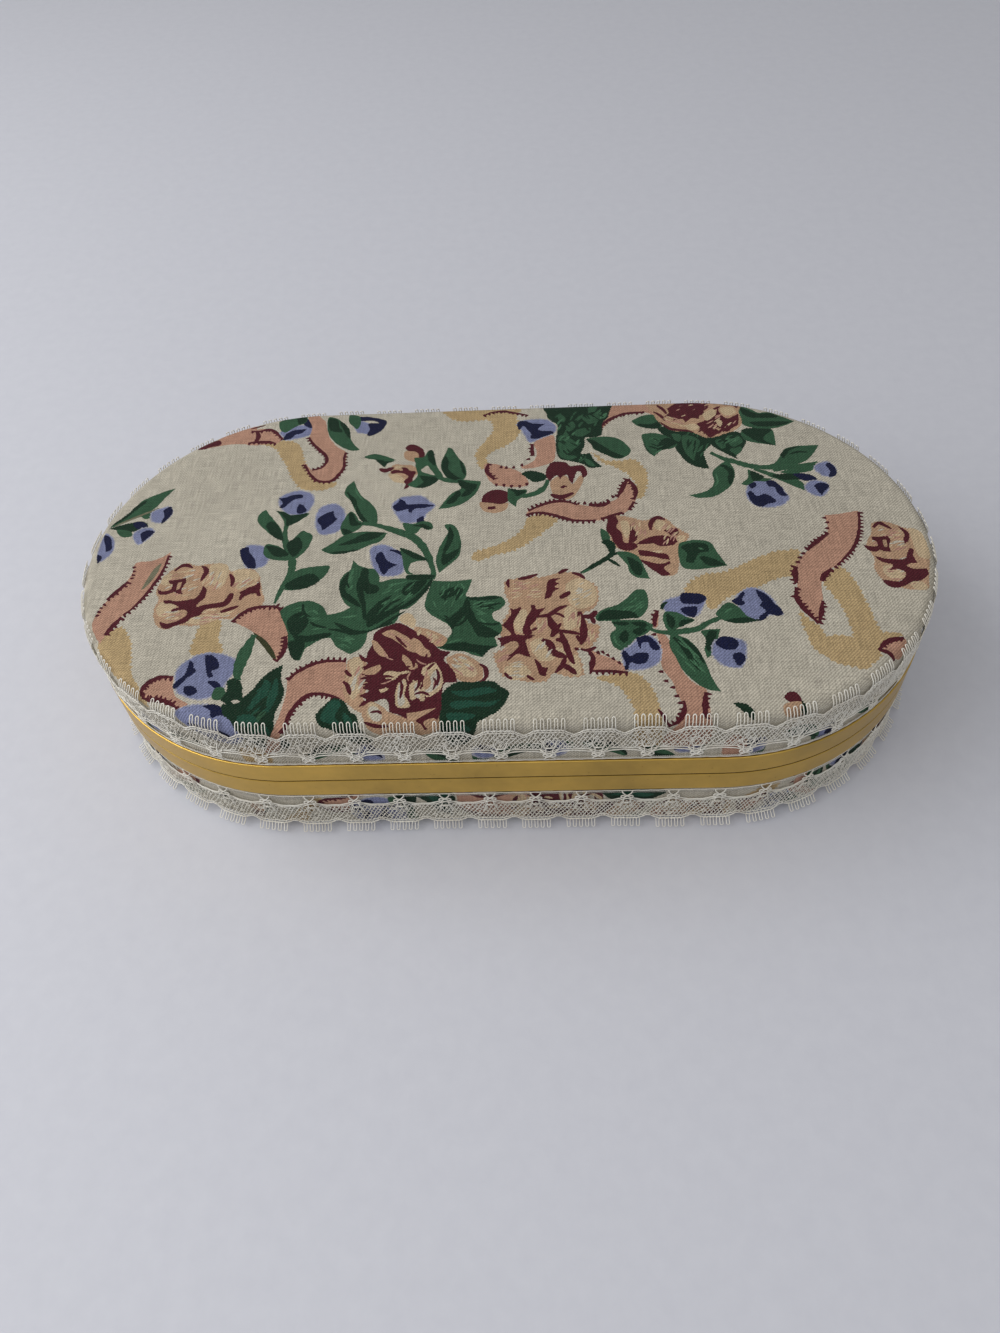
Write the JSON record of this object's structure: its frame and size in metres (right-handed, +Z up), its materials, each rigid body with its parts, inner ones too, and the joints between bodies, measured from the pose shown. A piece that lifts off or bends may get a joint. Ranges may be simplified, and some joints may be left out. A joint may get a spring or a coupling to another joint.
{
  "type": "cloth-covered keepsake case",
  "caption": "Oblong keepsake case with a hinged, padded lid, brass rims, a cloth cover and lace edging.",
  "frame": {"origin": "middle of the flat underside, halfway between the centres of the round ends", "axes": "+X along the case, +Y towards the hinges at the back, +Z up"},
  "size_m": [0.21, 0.1132, 0.0438],
  "materials": {
    "printed_cotton": "plain-weave cotton, cream, floral print",
    "lace": "off-white machine lace",
    "rim_brass": "satin, gold tone",
    "lip_brass": "satin",
    "board": "pressed board",
    "satin_lining": "ivory satin, gathered",
    "satin_pad": "ivory satin over wadding",
    "wadding": "white wadding",
    "base_cloth": "plain cream cotton over board",
    "spring_steel": "bright strip",
    "rivet_brass": "polished",
    "hinge_brass": "satin",
    "pin_brass": "polished"
  },
  "bodies": {
    "root": {"base_shell": "board", "base_cover": "printed_cotton", "base_lace": "lace", "base_rim": "rim_brass", "base_guide_lip": "lip_brass", "base_lining_wall": "satin_lining", "base_lining_board": "board", "base_lining_pad": "satin_pad", "base_bottom_panel": "base_cloth", "base_hinge_rivets": "rivet_brass", "hinge_left_base_leaf": "hinge_brass", "hinge_right_base_leaf": "hinge_brass", "hinge_left_pin": "pin_brass", "hinge_right_pin": "pin_brass", "catch_foot": "spring_steel", "catch_rivets": "rivet_brass"},
    "lid": {"lid_shell": "board", "lid_padding": "wadding", "lid_cover": "printed_cotton", "lid_lace": "lace", "lid_rim": "rim_brass", "lid_lining_wall": "satin_lining", "lid_lining_board": "board", "lid_lining_pad": "satin_pad", "lid_hinge_rivets": "rivet_brass", "hinge_left_lid_leaf": "hinge_brass", "hinge_right_lid_leaf": "hinge_brass"},
    "catch": {"catch_tongue": "spring_steel"}
  },
  "joints": [
    {"name": "lid_hinge", "type": "hinge", "parent": "root", "child": "lid", "pos_m": [0, 0.0567, 0.02175], "axis": [-1, 0, 0], "range_deg": [0, 105]},
    {"name": "catch_flex", "type": "hinge", "parent": "root", "child": "catch", "pos_m": [0, -0.04995, 0.02025], "axis": [-1, 0, 0], "range_deg": [0, 6], "stiffness_Nm_per_rad": 0.02}
  ]
}
